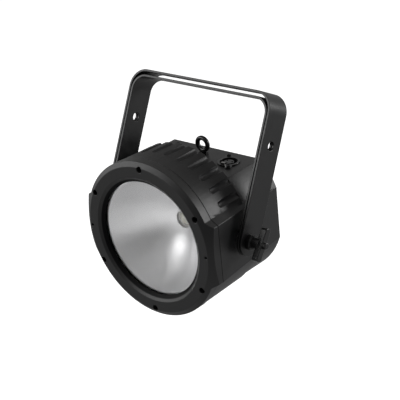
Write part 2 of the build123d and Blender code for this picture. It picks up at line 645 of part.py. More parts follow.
def panel_screw(shank_r, head_r, y_end, x, z):
    """Pan head screw entering the rear panel from behind."""
    head = cyl_y(head_r, panel_back, panel_back + PAN_HEAD, x, z)
    floor_y = panel_back + PAN_HEAD - CROSS_DEPTH
    cross = box(x - CROSS_HALF, x + CROSS_HALF, floor_y, FAR, z - CROSS_W / 2, z + CROSS_W / 2)
    cross += box(x - CROSS_W / 2, x + CROSS_W / 2, floor_y, FAR, z - CROSS_HALF, z + CROSS_HALF)
    return head + cyl_y(shank_r, y_end, panel_back, x, z) - cross


export("rear_panel_screws", group(
    panel_screw(PANEL_SCREW_R, PANEL_HEAD_R, PANEL_SCREW_END, x, z) for x, z in panel_spots
))

# ================================================================ fan
fan_back = FAN_FRONT_Y + FAN_DEPTH
half_fan = FAN_SIZE / 2
fan_frame = box(-half_fan, half_fan, FAN_FRONT_Y, fan_back, FAN_Z - half_fan, FAN_Z + half_fan)
fan_frame = fillet(fan_frame.edges().filter_by(Axis.Y), 4)
fan_frame -= cyl_y(FAN_BORE_R, 0, FAR, 0, FAN_Z)
waist = box(-half_fan, half_fan, FAN_FRONT_Y + FAN_FLANGE, fan_back - FAN_FLANGE,
            FAN_Z - half_fan, FAN_Z + half_fan)
fan_frame -= waist - cyl_y(half_fan + 0.01, 0, FAR, 0, FAN_Z)
for x, z in fan_spots:
    fan_frame -= cyl_y(FAN_SCREW_R + SCREW_GAP, 0, FAR, x, z)
strut_y = FAN_FRONT_Y + 2.5
fan_frame += cyl_y(MOTOR_R, FAN_FRONT_Y, strut_y, 0, FAN_Z)
for i in range(4):
    strut = box(MOTOR_R - 1, FAN_BORE_R + 0.5, FAN_FRONT_Y, strut_y, -1.5, 1.5)
    fan_frame += Pos(0, 0, FAN_Z) * Rot(Y=45 + 90 * i) * strut
fan_frame += cyl_y(AXLE_R, strut_y - 1, FAN_FRONT_Y + 16, 0, FAN_Z)
export("fan_frame", fan_frame)

rotor_front = strut_y + 1.0
rotor_back = fan_back - 1.5
rotor = cyl_y(ROTOR_HUB_R, rotor_front, rotor_back)
blade_mid = (rotor_front + rotor_back) / 2
blade = Pos((ROTOR_HUB_R + ROTOR_R) / 2 - 1, blade_mid, 0) * Rot(X=90 - BLADE_TWIST_DEG) * Box(
    ROTOR_R - ROTOR_HUB_R + 2, FAN_DEPTH - 1, BLADE_THICK)
blade &= cyl_y(ROTOR_R, rotor_front, rotor_back)
for i in range(ROTOR_BLADES):
    rotor += Rot(Y=360 / ROTOR_BLADES * i) * blade
rotor -= cyl_y(AXLE_R + RUN_GAP, 0, FAN_FRONT_Y + 17)
export("fan_rotor", Pos(0, 0, FAN_Z) * rotor)

export("fan_screws", group(
    panel_screw(FAN_SCREW_R, FAN_HEAD_R, FAN_FRONT_Y + FAN_FLANGE + TIP_GAP, x, z) for x, z in fan_spots
))
spacer_bore = FAN_SCREW_R + SCREW_GAP
export("fan_spacers", group(
    cyl_y(FAN_SPACER_R, fan_back, PANEL_FRONT_Y, x, z) - cyl_y(spacer_bore, 0, FAR, x, z)
    for x, z in fan_spots
))

# ================================================================ electronics
dx, dy, dz = DRIVER_SIZE
driver = Pos(*DRIVER_CENTRE) * Box(dx, dy, dz)
driver = fillet(driver.edges().filter_by(Axis.Y), 2)
driver &= cyl_y(rear_inner_r - 0.5, 0, FAR)
export("led_driver", driver)
bx, by, bz = BOARD_SIZE
board = Pos(0, BOARD_FRONT_Y + by / 2, BOARD_CENTRE_Z) * Box(bx, by, bz)
export("control_board", board)
board_back = BOARD_FRONT_Y + by
window = box(-DISPLAY_W / 2 + SEAT_GAP, DISPLAY_W / 2 - SEAT_GAP, PANEL_FRONT_Y, panel_back - 0.6,
             DISPLAY_Z - DISPLAY_H / 2 + SEAT_GAP, DISPLAY_Z + DISPLAY_H / 2 - SEAT_GAP)
export("display_window", window)
export("display_module", box(-DISPLAY_W / 2 - 2, DISPLAY_W / 2 + 2, board_back, PANEL_FRONT_Y,
                             DISPLAY_Z - DISPLAY_H / 2 - 1.5, DISPLAY_Z + DISPLAY_H / 2 + 1.5))
for name, x in zip(("menu", "down", "up", "enter"), button_xs):
    cap = box(x - BUTTON_W / 2, x + BUTTON_W / 2, PANEL_FRONT_Y - 0.5, panel_back + BUTTON_PROUD,
              BUTTON_Z - BUTTON_H / 2, BUTTON_Z + BUTTON_H / 2)
    cap = fillet(cap.edges().group_by(Axis.Y)[-1], 0.8)
    skirt = box(x - BUTTON_W / 2 - BUTTON_FLANGE, x + BUTTON_W / 2 + BUTTON_FLANGE,
                PANEL_FRONT_Y - 1.5, PANEL_FRONT_Y - FACE_GAP, BUTTON_Z - BUTTON_H / 2 - BUTTON_FLANGE,
                BUTTON_Z + BUTTON_H / 2 + BUTTON_FLANGE)
    export(f"button_{name}", cap + skirt)


# ================================================================ sockets
def socket_shell(turn):
    """Round panel socket with a two-screw flange, its mouth at +Z and the seat at z = 0."""
    rim = cyl_z(SOCKET_RIM_R, 0, SOCKET_RIM)
    for x, y in socket_screw_local:
        rim += cyl_z(SOCKET_EAR_R, 0, SOCKET_RIM, x, y)
        rim += box(-SOCKET_EAR_R, SOCKET_EAR_R, min(0, y), max(0, y), 0, SOCKET_RIM)
    shell = turn * rim + cyl_z(SOCKET_BODY_R, SOCKET_RIM - SOCKET_DEPTH, SOCKET_RIM)
    shell -= cyl_z(SOCKET_BORE_R, SOCKET_RIM - SOCKET_RECESS, SOCKET_RIM)
    for x, y in socket_screw_local:
        shell -= turn * cyl_z(SOCKET_SCREW_SHANK_R + SCREW_GAP, 0, SOCKET_RIM, x, y)
    return shell


def contact_ring(count):
    """Places of the contacts in a socket."""
    return [polar(CONTACT_CIRCLE_R, -90 + 360 / count * i) for i in range(count)]


floor_z = SOCKET_RIM - SOCKET_RECESS
PIN_TIP_Z = SOCKET_RIM - 2.5
male = socket_shell(socket_turn)
pin_spots = contact_ring(3)
for x, y in pin_spots:
    male -= cyl_z(CONTACT_R, floor_z - 3, floor_z, x, y)
male += box(-KEY_W / 2, KEY_W / 2, SOCKET_BORE_R - 1.4, SOCKET_BORE_R + 0.5, floor_z, SOCKET_RIM - 1)
export("dmx_in", dmx_seats[1] * male)
export("dmx_in_pins", dmx_seats[1] * group(
    cyl_z(CONTACT_R, floor_z - 3, PIN_TIP_Z, x, y) for x, y in pin_spots
))

female = socket_shell(socket_turn)
core = cyl_z(PLUG_CORE_R, floor_z, SOCKET_RIM - 0.8)
for x, y in pin_spots:
    core -= cyl_z(CONTACT_R + 0.1, floor_z + 1, SOCKET_RIM, x, y)
female += core
latch_well = box(-LATCH_W / 2 - LATCH_GAP, LATCH_W / 2 + LATCH_GAP, -SOCKET_BODY_R + 2 * LATCH_GAP,
                 -LATCH_IN_R, floor_z + 1, SOCKET_RIM)
female -= latch_well
latch = box(-LATCH_W / 2, LATCH_W / 2, -SOCKET_BODY_R + 3 * LATCH_GAP, -LATCH_IN_R - 0.2, floor_z + 3,
            SOCKET_RIM + LATCH_PROUD)
export("dmx_out", dmx_seats[0] * female)
export("dmx_out_latch", dmx_seats[0] * latch)
export("dmx_out_contacts", dmx_seats[0] * group(
    cyl_z(CONTACT_R, floor_z + 1, SOCKET_RIM - 3.5, x, y) for x, y in pin_spots
))

blade_spots = [(0.0, 3.6), (-3.4, -2.2), (3.4, -2.2)]
blade_x = POWER_BLADE_THICK / 2
blade_y = POWER_BLADE_W / 2
for node, seat, key_turn in (("power_in", power_seats[1], 0), ("power_out", power_seats[0], 180)):
    body = socket_shell(socket_turn)
    insert = cyl_z(POWER_CORE_R, floor_z, SOCKET_RIM - 1.2)
    for x, y in blade_spots:
        insert -= box(x - blade_x - LATCH_GAP, x + blade_x + LATCH_GAP,
                      y - blade_y - LATCH_GAP, y + blade_y + LATCH_GAP, floor_z + 1, SOCKET_RIM)
    body += Rot(Z=key_turn) * (insert + box(-KEY_W / 2, KEY_W / 2, POWER_CORE_R - 1, SOCKET_BORE_R + 0.5,
                                            floor_z, SOCKET_RIM - 2))
    export(node, seat * body)
    export(f"{node}_contacts", seat * Rot(Z=key_turn) * group(
        box(x - blade_x, x + blade_x, y - blade_y, y + blade_y, floor_z + 1, SOCKET_RIM - 4)
        for x, y in blade_spots
    ))


def socket_screw(x, y):
    """Round headed screw through a socket's flange."""
    screw = cyl_z(SOCKET_SCREW_HEAD_R, SOCKET_RIM, SOCKET_RIM + SOCKET_SCREW_HEAD, x, y)
    screw += cyl_z(SOCKET_SCREW_SHANK_R, -SOCKET_SCREW_TIP, SOCKET_RIM, x, y)
    slot = box(x - CROSS_HALF, x + CROSS_HALF, y - CROSS_W / 2, y + CROSS_W / 2,
               SOCKET_RIM + SOCKET_SCREW_HEAD - CROSS_DEPTH, FAR)
    return screw - slot - Pos(x, y, 0) * Rot(Z=90) * Pos(-x, -y, 0) * slot


export("dmx_screws", group(
    seat * socket_turn * socket_screw(x, y) for seat in dmx_seats for x, y in socket_screw_local
))
export("power_screws", group(
    seat * socket_turn * socket_screw(x, y) for seat in power_seats for x, y in socket_screw_local
))
fuse = cyl_y(FUSE_R, PANEL_FRONT_Y - FUSE_DEPTH, panel_back, FUSE_X, FUSE_Z)
fuse += cyl_y(FUSE_RIM_R, panel_back, panel_back + FUSE_RIM, FUSE_X, FUSE_Z)
fuse += cyl_y(FUSE_CAP_R, panel_back, panel_back + FUSE_CAP, FUSE_X, FUSE_Z)
fuse -= box(FUSE_X - CROSS_HALF * 3, FUSE_X + CROSS_HALF * 3, panel_back + FUSE_CAP - CROSS_HALF, FAR,
            FUSE_Z - CROSS_W, FUSE_Z + CROSS_W)
export("fuse_holder", fuse)

# ================================================================ safety eye
eye_centre_z = DECK_Z + EYE_COLLAR + EYE_RING_R + EYE_TUBE_R - EYE_SINK
ring = Pos(0, EYE_Y, eye_centre_z) * Rot(X=90) * Torus(EYE_RING_R, EYE_TUBE_R)
eye = ring + cyl_z(EYE_COLLAR_R, DECK_Z, DECK_Z + EYE_COLLAR, 0, EYE_Y)
eye += cyl_z(EYE_SHANK_R, DECK_Z - EYE_SHANK, DECK_Z + EYE_COLLAR, 0, EYE_Y)
export("safety_eye", eye)
deck_under = DECK_Z - DECK_WALL
nut = extrude(RegularPolygon(EYE_NUT_AF / math.sqrt(3), 6), amount=EYE_NUT)
nut = Pos(0, EYE_Y, deck_under - EYE_WASHER - EYE_NUT) * nut
nut += cyl_z(EYE_WASHER_R, deck_under - EYE_WASHER, deck_under, 0, EYE_Y)
nut -= cyl_z(EYE_SHANK_R + SCREW_GAP, 0, DECK_Z, 0, EYE_Y)
export("safety_eye_nut", nut)

# ================================================================ pivots
insert = cyl_x(INSERT_R, INSERT_BACK_X, INSERT_FACE_X, PIVOT_Y)
insert += cyl_x(INSERT_R + INSERT_FLANGE, INSERT_BACK_X - INSERT_FLANGE_THICK, INSERT_BACK_X, PIVOT_Y)
insert -= cyl_x(STUD_R, 0, FAR, PIVOT_Y)
export("pivot_inserts", both_sides(insert))
knob_face_x = OUTER_HALF + FACE_GAP
STUD_END_X = OUTER_HALF + KNOB_BAR_X - 2
stud_head_x = INSERT_BACK_X - INSERT_FLANGE_THICK
stud = cyl_x(STUD_R, stud_head_x, STUD_END_X, PIVOT_Y)
stud += cyl_x(STUD_HEAD_R, stud_head_x - STUD_HEAD, stud_head_x, PIVOT_Y)
export("pivot_studs", both_sides(stud))
inner_face_x = INNER_HALF - YOKE_PLATE


def washer(x0, x1):
    """Friction washer on the pivot stud."""
    return cyl_x(WASHER_R, x0, x1, PIVOT_Y) - cyl_x(STUD_R + RUN_GAP, 0, FAR, PIVOT_Y)


export("friction_washers", both_sides(washer(INSERT_FACE_X, inner_face_x - FACE_GAP)))
export("yoke_washers", both_sides(washer(INNER_HALF + FACE_GAP, OUTER_HALF - YOKE_PLATE)))


# ================================================================ yokes
def arch(half, top, bend_r):
    """Solid block under an arch with two rounded top corners."""
    block = box(-half, half, -YOKE_WIDTH / 2, YOKE_WIDTH / 2, -YOKE_WIDTH / 2, top)
    corners = block.faces().sort_by(Axis.Z)[-1].edges().filter_by(Axis.Y)
    return fillet(corners, bend_r)


def yoke_strap(half, top, bend_r):
    """U-shaped flat strap with rounded leg ends, drawn upright about the pivot."""
    strap = arch(half, top, bend_r) - arch(half - YOKE_PLATE, top - YOKE_PLATE, bend_r - YOKE_PLATE)
    # full round at the foot of each leg
    foot = box(-FAR, FAR, -YOKE_WIDTH, YOKE_WIDTH, -YOKE_WIDTH, 0) - cyl_x(YOKE_WIDTH / 2, -FAR, FAR)
    strap -= foot
    strap -= cyl_x(STUD_R + RUN_GAP, -FAR, FAR)
    strap -= cyl_x(LEG_HOLE_R, -FAR, FAR, 0, LEG_HOLE_H)
    strap -= cyl_z(CLAMP_HOLE_R, top - 2 * YOKE_PLATE, top + 1)
    return strap


export("outer_yoke", from_yoke(yoke_strap(OUTER_HALF, OUTER_TOP, OUTER_BEND_R)))
export("inner_yoke", from_yoke(yoke_strap(INNER_HALF, INNER_TOP, INNER_BEND_R)))

# ================================================================ locking knobs
bar_half_x = KNOB_BAR_T / 2
bar_x = OUTER_HALF + KNOB_BAR_X
knob_bar = box(bar_x - bar_half_x, bar_x + bar_half_x, -KNOB_BAR_W / 2, KNOB_BAR_W / 2,
               -KNOB_BAR_LEN / 2, KNOB_BAR_LEN / 2)
knob_bar = fillet(knob_bar.edges().filter_by(Axis.X), KNOB_BAR_W * 0.4)
knob_bar = fillet(knob_bar.edges().filter_by(Axis.Z), 1.2)
knob = cyl_x(KNOB_FLANGE_R, knob_face_x, knob_face_x + KNOB_FLANGE)
knob += cyl_x(KNOB_NECK_R, knob_face_x, bar_x) + knob_bar
knob_end_x = bar_x + bar_half_x
stud_hole = cyl_x(STUD_R + RUN_GAP, 0, STUD_END_X + TIP_GAP)
thread_insert = cyl_x(KNOB_NUT_R, knob_face_x, bar_x - bar_half_x)
knob -= thread_insert + stud_hole
knob -= cyl_x(KNOB_CAP_PLUG_R, knob_end_x - KNOB_CAP_PLUG, knob_end_x)
thread_insert -= stud_hole
knob_cap = cyl_x(KNOB_CAP_PLUG_R, knob_end_x - KNOB_CAP_PLUG, knob_end_x)
knob_cap += cyl_x(KNOB_CAP_R, knob_end_x, knob_end_x + KNOB_CAP)
knob_cap = fillet(knob_cap.edges().group_by(Axis.X)[-1], 1.5)
for side in ("right", "left"):
    for node, piece in (("grip", knob), ("nut", thread_insert), ("cap", knob_cap)):
        placed = Pos(0, PIVOT_Y, 0) * Rot(X=-KNOB_LEAN_DEG) * piece
        if side == "left":
            placed = mirror(placed, Plane.YZ)
        export(f"{side}_knob_{node}", placed)

print("row origin in head stations:", round(clamp_y, 3), round(clamp_z, 3))
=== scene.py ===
# %% [markdown]
# # A par can light for the stage
#
# This lesson finishes a hanging stage light. Its sizes and joints are already settled in CAD,
# so the frame is loaded first and every piece takes its place from it. Blender then adds what
# CAD doesn't have: rounded edges that catch the light, surfaces that look moulded, painted,
# spun or turned, and small details such as the hexagon wells of the socket screws.

# %% Load the frame
import bpy
import bmesh
import json
import math
from mathutils import Matrix, Vector


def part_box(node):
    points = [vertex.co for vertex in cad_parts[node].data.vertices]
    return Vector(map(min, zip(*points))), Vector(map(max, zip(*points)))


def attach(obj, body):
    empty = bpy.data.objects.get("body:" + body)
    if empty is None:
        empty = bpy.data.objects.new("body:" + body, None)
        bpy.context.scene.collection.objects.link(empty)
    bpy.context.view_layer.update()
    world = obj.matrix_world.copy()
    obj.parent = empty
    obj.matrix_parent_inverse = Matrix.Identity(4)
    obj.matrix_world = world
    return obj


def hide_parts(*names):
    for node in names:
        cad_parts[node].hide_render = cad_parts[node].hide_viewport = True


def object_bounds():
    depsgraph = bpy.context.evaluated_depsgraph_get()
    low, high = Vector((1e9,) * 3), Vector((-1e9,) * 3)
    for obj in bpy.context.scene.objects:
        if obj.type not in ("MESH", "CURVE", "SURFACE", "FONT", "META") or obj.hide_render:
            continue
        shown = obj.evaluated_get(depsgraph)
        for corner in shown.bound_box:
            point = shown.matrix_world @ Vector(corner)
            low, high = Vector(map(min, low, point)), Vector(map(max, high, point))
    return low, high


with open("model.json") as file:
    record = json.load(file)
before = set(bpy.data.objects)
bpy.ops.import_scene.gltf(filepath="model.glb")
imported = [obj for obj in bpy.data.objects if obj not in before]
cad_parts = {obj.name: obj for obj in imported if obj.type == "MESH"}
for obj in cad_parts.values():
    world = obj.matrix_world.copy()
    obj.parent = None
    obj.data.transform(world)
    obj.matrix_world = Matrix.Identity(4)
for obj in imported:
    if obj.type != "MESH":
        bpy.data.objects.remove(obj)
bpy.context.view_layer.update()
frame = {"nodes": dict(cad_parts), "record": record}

nodes = frame["nodes"]

# %% [markdown]
# The lamp's own axis is the centre line of the round front. Everything round is drawn about it,
# so it is read from the reflector's box once. The beam leaves along -Y.

# %% Find the beam axis
MM = 0.001   # Blender works in metres
low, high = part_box("reflector")
beam = (low + high) / 2
print("beam axis at x %.4f z %.4f" % (beam.x, beam.z))

# %% [markdown]
# Five small helpers serve every material. Colours are written as the hex codes that a colour
# picker shows, and linear turns them into the linear numbers that light is reckoned in. add
# makes one node, sets its properties, and either fills its inputs or links them. Two more open
# and close a material, and per_mm turns the real size of a pattern into the scale of a texture.

# %% Colour and node helpers


def linear(code):
    """An sRGB hex colour as linear red, green, blue and alpha."""
    channels = [int(code[i:i + 2], 16) / 255 for i in (0, 2, 4)]
    linear_channels = [c / 12.92 if c <= 0.04045 else ((c + 0.055) / 1.055) ** 2.4
                       for c in channels]
    return (*linear_channels, 1.0)


def add(tree, kind, inputs=None, stops=(), **settings):
    """Adds one node with its settings, its inputs (values, sockets or nodes) and a ramp's stops."""
    made = tree.nodes.new(kind)
    for name, value in settings.items():
        setattr(made, name, value)
    for name, value in (inputs or {}).items():
        source = value.outputs[0] if isinstance(value, bpy.types.Node) else value
        if isinstance(source, bpy.types.NodeSocket):
            tree.links.new(source, made.inputs[name])
        else:
            made.inputs[name].default_value = source
    for index, (place, code) in enumerate(stops):
        bands = made.color_ramp.elements
        band = bands[index] if index < len(bands) else bands.new(place)
        band.position, band.color = place, linear(code)
    return made


def new_material(name):
    """An empty node material and its tree."""
    material = bpy.data.materials.new(name)
    material.use_nodes = True
    material.node_tree.nodes.clear()
    return material, material.node_tree


def close_material(tree, inputs):
    """Ends a material's tree in one Principled shader."""
    shader = add(tree, "ShaderNodeBsdfPrincipled", inputs)
    add(tree, "ShaderNodeOutputMaterial", {"Surface": shader})


def per_mm(size):
    """The texture scale that repeats a pattern about every size millimetres."""
    return 1.0 / (size * MM)


print("helpers ready: #808080 is", round(linear("808080")[0], 4), "in linear light")

# %% [markdown]
# ## Moulded black housing
#
# The bezel, the grooved barrel and the rear housing are injection moulded in black glass-filled
# nylon or a PC/ABS blend. The mould is spark eroded, which leaves a fine satin grain of about
# 0.2 mm. That grain is too fine to see at arm's length, so it is drawn at 1.1 mm and kept
# shallow. Slow clouds in the colour and in the roughness stand for handling marks, and a little
# grey stage dust settles on faces that look up.

# %% Moulded plastic material
HANDLING_MM = 60      # clouds left by hands
SPECK_MM = 9          # patches of dust
LEVEL_ENOUGH = 0.35   # the upward part of a normal above which dust stays
DUST_GREY = "6d6a64"


def moulded_plastic(name, dark, light, roughness, grain_mm, grain_depth_mm, dust=0.10):
    """A dark moulding: a grain of the given size, handling marks, and dust on level faces."""
    material, tree = new_material(name)
    place = add(tree, "ShaderNodeTexCoord").outputs["Object"]
    cloud = add(tree, "ShaderNodeTexNoise",
                {"Vector": place, "Scale": per_mm(HANDLING_MM), "Detail": 4.0})
    colour = add(tree, "ShaderNodeValToRGB", {"Fac": cloud}, stops=[(0.35, dark), (0.7, light)])
    facing = add(tree, "ShaderNodeSeparateXYZ",
                 {"Vector": add(tree, "ShaderNodeNewGeometry").outputs["Normal"]}).outputs["Z"]
    specks = add(tree, "ShaderNodeTexNoise",
                 {"Vector": place, "Scale": per_mm(SPECK_MM), "Detail": 6.0})
    lying = add(tree, "ShaderNodeMapRange",
                {"Value": facing, "From Min": LEVEL_ENOUGH, "To Max": dust})
    settled = add(tree, "ShaderNodeMath", {0: lying, 1: specks}, operation="MULTIPLY")
    dusty = add(tree, "ShaderNodeMix",
                {"Factor": settled, 6: colour, 7: linear(DUST_GREY)}, data_type="RGBA")
    spread = add(tree, "ShaderNodeMapRange",
                 {"Value": cloud, "From Min": 0.3, "From Max": 0.7,
                  "To Min": roughness - 0.04, "To Max": roughness + 0.05})
    grain = add(tree, "ShaderNodeTexNoise",
                {"Vector": place, "Scale": per_mm(grain_mm), "Detail": 2.0})
    relief = add(tree, "ShaderNodeBump",
                 {"Height": grain, "Strength": 0.6, "Distance": grain_depth_mm * MM})
    close_material(tree, {"Base Color": dusty.outputs[2], "Roughness": spread,
                          "Normal": relief, "IOR": 1.5})
    return material


spark_eroded = ("0a0a0b", "101011", 0.44, 1.1, 0.13)
housing_black = moulded_plastic("spark eroded black nylon", *spark_eroded)
# the bezel's own copy of the moulding, which carries painted shade in its mouth
bezel_with_painted_shade = moulded_plastic("spark eroded black bezel, painted shade in the mouth", *spark_eroded)
knob_black = moulded_plastic("satin black nylon knob",
                             "060607", "0a0a0b", 0.30, 1.2, 0.03, dust=0.03)
socket_black = moulded_plastic("fine black nylon socket",
                               "0b0b0c", "101011", 0.32, 0.7, 0.02, dust=0.03)
inner_black = moulded_plastic("matt black inner moulding",
                              "111111", "171717", 0.55, 0.9, 0.03, dust=0.0)
key_grey = moulded_plastic("dark grey soft keys",
                           "2a2b2d", "333437", 0.55, 0.8, 0.02, dust=0.05)
for plastic in (housing_black, bezel_with_painted_shade, knob_black, socket_black, inner_black, key_grey):
    print("moulded plastic:", plastic.name)

# %% [markdown]
# The sloped mouth of the bezel is painted into shade. A flat surface has almost no mirror part,
# so inside the mouth the plastic's mirror part is turned down nearly to nothing, and the mouth
# reads as a recess in shadow. The distance from the beam axis tells the shader where this
# painted shade ends, half way up the slope.

# %% Flat black mouth with painted shade
# painted shade: near the beam axis the bezel's reflection is turned almost off, so the mouth looks
# shaded
PAINTED_SHADE_WITHIN, MOULDED_BEYOND = 82.4 * MM, 83.2 * MM   # distances from the beam axis
PAINTED_SHADE_GLOSS, MOULDED_GLOSS = 0.05, 0.5                # half is the usual gloss of a plastic
mouth_tree = bezel_with_painted_shade.node_tree
mouth_shader = next(node for node in mouth_tree.nodes if node.type == "BSDF_PRINCIPLED")
place = add(mouth_tree, "ShaderNodeTexCoord").outputs["Object"]
offset = add(mouth_tree, "ShaderNodeVectorMath", {0: place, 1: beam}, operation="SUBTRACT")
flat = add(mouth_tree, "ShaderNodeVectorMath",
           {0: offset, 1: (1.0, 0.0, 1.0)}, operation="MULTIPLY")
away = add(mouth_tree, "ShaderNodeVectorMath", {0: flat}, operation="LENGTH").outputs["Value"]
# painted shade: the mirror part rises from almost none in the mouth to the moulding's own
gloss = add(mouth_tree, "ShaderNodeMapRange",
            {"Value": away, "From Min": PAINTED_SHADE_WITHIN, "From Max": MOULDED_BEYOND,
             "To Min": PAINTED_SHADE_GLOSS, "To Max": MOULDED_GLOSS})
mouth_tree.links.new(gloss.outputs["Result"], mouth_shader.inputs["Specular IOR Level"])
print("the mouth is flat black inside a radius of %.1f mm" % (PAINTED_SHADE_WITHIN / MM))

# %% [markdown]
# ## Powder coated steel
#
# The two hanging straps are bent from 3 mm steel and powder coated. Powder melts into a skin
# with a slight orange peel, waves about 1.5 mm across and a few hundredths of a millimetre
# high. Clamps and hands rub it, so its gloss changes a little from place to place.

# %% Powder coat material
COAT_CLOUD_MM = 80     # slow change of shade
RUBBED_MM = 14         # rubbed patches
PEEL_HEIGHT_MM = 0.06


def powder_coat(name, dark, light, roughness, peel_mm):
    """Black powder coat with an orange peel of the given width."""
    material, tree = new_material(name)
    place = add(tree, "ShaderNodeTexCoord").outputs["Object"]
    cloud = add(tree, "ShaderNodeTexNoise",
                {"Vector": place, "Scale": per_mm(COAT_CLOUD_MM), "Detail": 3.0})
    colour = add(tree, "ShaderNodeValToRGB", {"Fac": cloud}, stops=[(0.3, dark), (0.75, light)])
    rubbed = add(tree, "ShaderNodeTexNoise",
                 {"Vector": place, "Scale": per_mm(RUBBED_MM), "Detail": 8.0, "Roughness": 0.7})
    spread = add(tree, "ShaderNodeMapRange",
                 {"Value": rubbed, "From Min": 0.35, "From Max": 0.65,
                  "To Min": roughness - 0.05, "To Max": roughness + 0.05})
    peel = add(tree, "ShaderNodeTexNoise",
               {"Vector": place, "Scale": per_mm(peel_mm), "Detail": 1.0})
    relief = add(tree, "ShaderNodeBump",
                 {"Height": peel, "Strength": 0.5, "Distance": PEEL_HEIGHT_MM * MM})
    close_material(tree, {"Base Color": colour, "Roughness": spread,
                          "Normal": relief, "IOR": 1.5})
    return material


strap_black = powder_coat("black powder coat", "070708", "0b0b0c", 0.37, 1.5)
eye_black = powder_coat("black coated eye", "0a0a0b", "0f0f10", 0.24, 1.2)
print("powder coats:", strap_black.name, eye_black.name)

# %% [markdown]
# ## Metals
#
# A metal's colour is its reflection, so it has metallic at one, the default IOR, and everything
# else comes from how it was worked. Spun parts carry faint rings from the roller, here 10 mm
# apart. Plated parts carry soft stains, and black oxide on screws is a dark, slightly oily
# skin.

# %% Metal material
WAVE_TURN = math.tau / 20   # at a scale of one, a wave texture repeats in this length


def worked_metal(name, dark, light, roughness, stain_mm,
                 ring_mm=0.0, ring_depth_mm=0.01, centre=(0, 0, 0)):
    """A metal with stains of the given size and, if ring_mm is set, rings about the centre."""
    material, tree = new_material(name)
    place = add(tree, "ShaderNodeTexCoord").outputs["Object"]
    stain = add(tree, "ShaderNodeTexNoise",
                {"Vector": place, "Scale": per_mm(stain_mm), "Detail": 5.0})
    colour = add(tree, "ShaderNodeValToRGB", {"Fac": stain}, stops=[(0.3, dark), (0.7, light)])
    spread = add(tree, "ShaderNodeMapRange",
                 {"Value": stain, "From Min": 0.3, "From Max": 0.7,
                  "To Min": roughness * 0.88, "To Max": roughness * 1.15})
    inputs = {"Base Color": colour, "Roughness": spread, "Metallic": 1.0}
    if ring_mm:
        moved = add(tree, "ShaderNodeMapping",
                    {"Vector": place, "Location": [-c for c in centre]})
        rings = add(tree, "ShaderNodeTexWave",
                    {"Vector": moved, "Scale": per_mm(ring_mm) * WAVE_TURN,
                     "Distortion": 0.3, "Detail": 2.0},
                    wave_type="RINGS", rings_direction="Y")
        inputs["Normal"] = add(tree, "ShaderNodeBump",
                               {"Height": rings.outputs["Fac"], "Strength": 0.5,
                                "Distance": ring_depth_mm * MM})
    close_material(tree, inputs)
    return material


black_oxide = worked_metal("black oxide steel", "1b1b1c", "262627", 0.38, 3.0)
zinc_plate = worked_metal("zinc plated steel", "8f9091", "a9aaab", 0.32, 8.0)
sheet_steel = worked_metal("galvanised sheet steel", "8a8c8e", "a4a6a8", 0.42, 14.0)
spun_silver = worked_metal("satin anodised spun aluminium", "dcdcdd", "e8e8e9", 0.42, 40.0,
                           ring_mm=10.0531, ring_depth_mm=0.012, centre=beam)
fin_silver = worked_metal("extruded aluminium", "9fa0a2", "b4b5b7", 0.38, 12.0)
contact_brass = worked_metal("turned brass", "a98a4c", "c2a25e", 0.28, 4.0)
latch_steel = worked_metal("pressed nickel steel", "8a8987", "a19f9c", 0.30, 5.0)
for metal in (black_oxide, zinc_plate, sheet_steel, spun_silver, fin_silver, contact_brass,
              latch_steel):
    print("metal:", metal.name)

# %% [markdown]
# ## Glass, silicone, rubber, fibre and boards
#
# The front glass is clear toughened soda-lime glass with an IOR of 1.52. The light source is a
# chip board: a white reflecting board with a pale phosphor silicone over the chips. The seal is
# black rubber with a chalky skin, the friction washers are pressed fibre, and the display
# window is a smoked acrylic.

# %% Glass and small part materials


def plain_surface(name, dark, light, pattern_mm, bump_mm, inputs):
    """A finish with one soft pattern between two shades, raised by bump_mm if that is not zero."""
    material, tree = new_material(name)
    place = add(tree, "ShaderNodeTexCoord").outputs["Object"]
    pattern = add(tree, "ShaderNodeTexNoise",
                  {"Vector": place, "Scale": per_mm(pattern_mm), "Detail": 4.0})
    colour = add(tree, "ShaderNodeValToRGB", {"Fac": pattern}, stops=[(0.3, dark), (0.7, light)])
    relief = {}
    if bump_mm:
        relief["Normal"] = add(tree, "ShaderNodeBump", {"Height": pattern, "Strength": 0.5,
                                                        "Distance": bump_mm * MM})
    close_material(tree, {"Base Color": colour, **relief, **inputs})
    return material


clear_glass = plain_surface("clear toughened glass", "f7f7f7", "fafafa", 70, 0.0,
                            {"Roughness": 0.03, "IOR": 1.52, "Transmission Weight": 1.0})
phosphor = plain_surface("phosphor silicone", "cbc8ba", "d8d6cb", 3, 0.01,
                         {"Roughness": 0.22, "IOR": 1.41, "Subsurface Weight": 0.25,
                          "Subsurface Radius": (0.002, 0.0015, 0.0006)})
board_white = plain_surface("white ceramic board", "d8d7d2", "e4e3de", 2, 0.01,
                            {"Roughness": 0.5, "IOR": 1.6})
seal_rubber = plain_surface("black seal rubber", "121212", "1c1b1b", 4, 0.03,
                            {"Roughness": 0.8, "IOR": 1.5})
fibre = plain_surface("pressed grey fibre", "242322", "35332f", 1.5, 0.04,
                      {"Roughness": 0.85, "IOR": 1.45})
smoked_window = plain_surface("smoked acrylic window", "07090c", "0b0e13", 20, 0.0,
                              {"Roughness": 0.08, "IOR": 1.49})
solder_mask = plain_surface("green solder mask", "0d3a21", "14492b", 3, 0.02,
                            {"Roughness": 0.35, "IOR": 1.55})
print("materials so far:", len(bpy.data.materials))

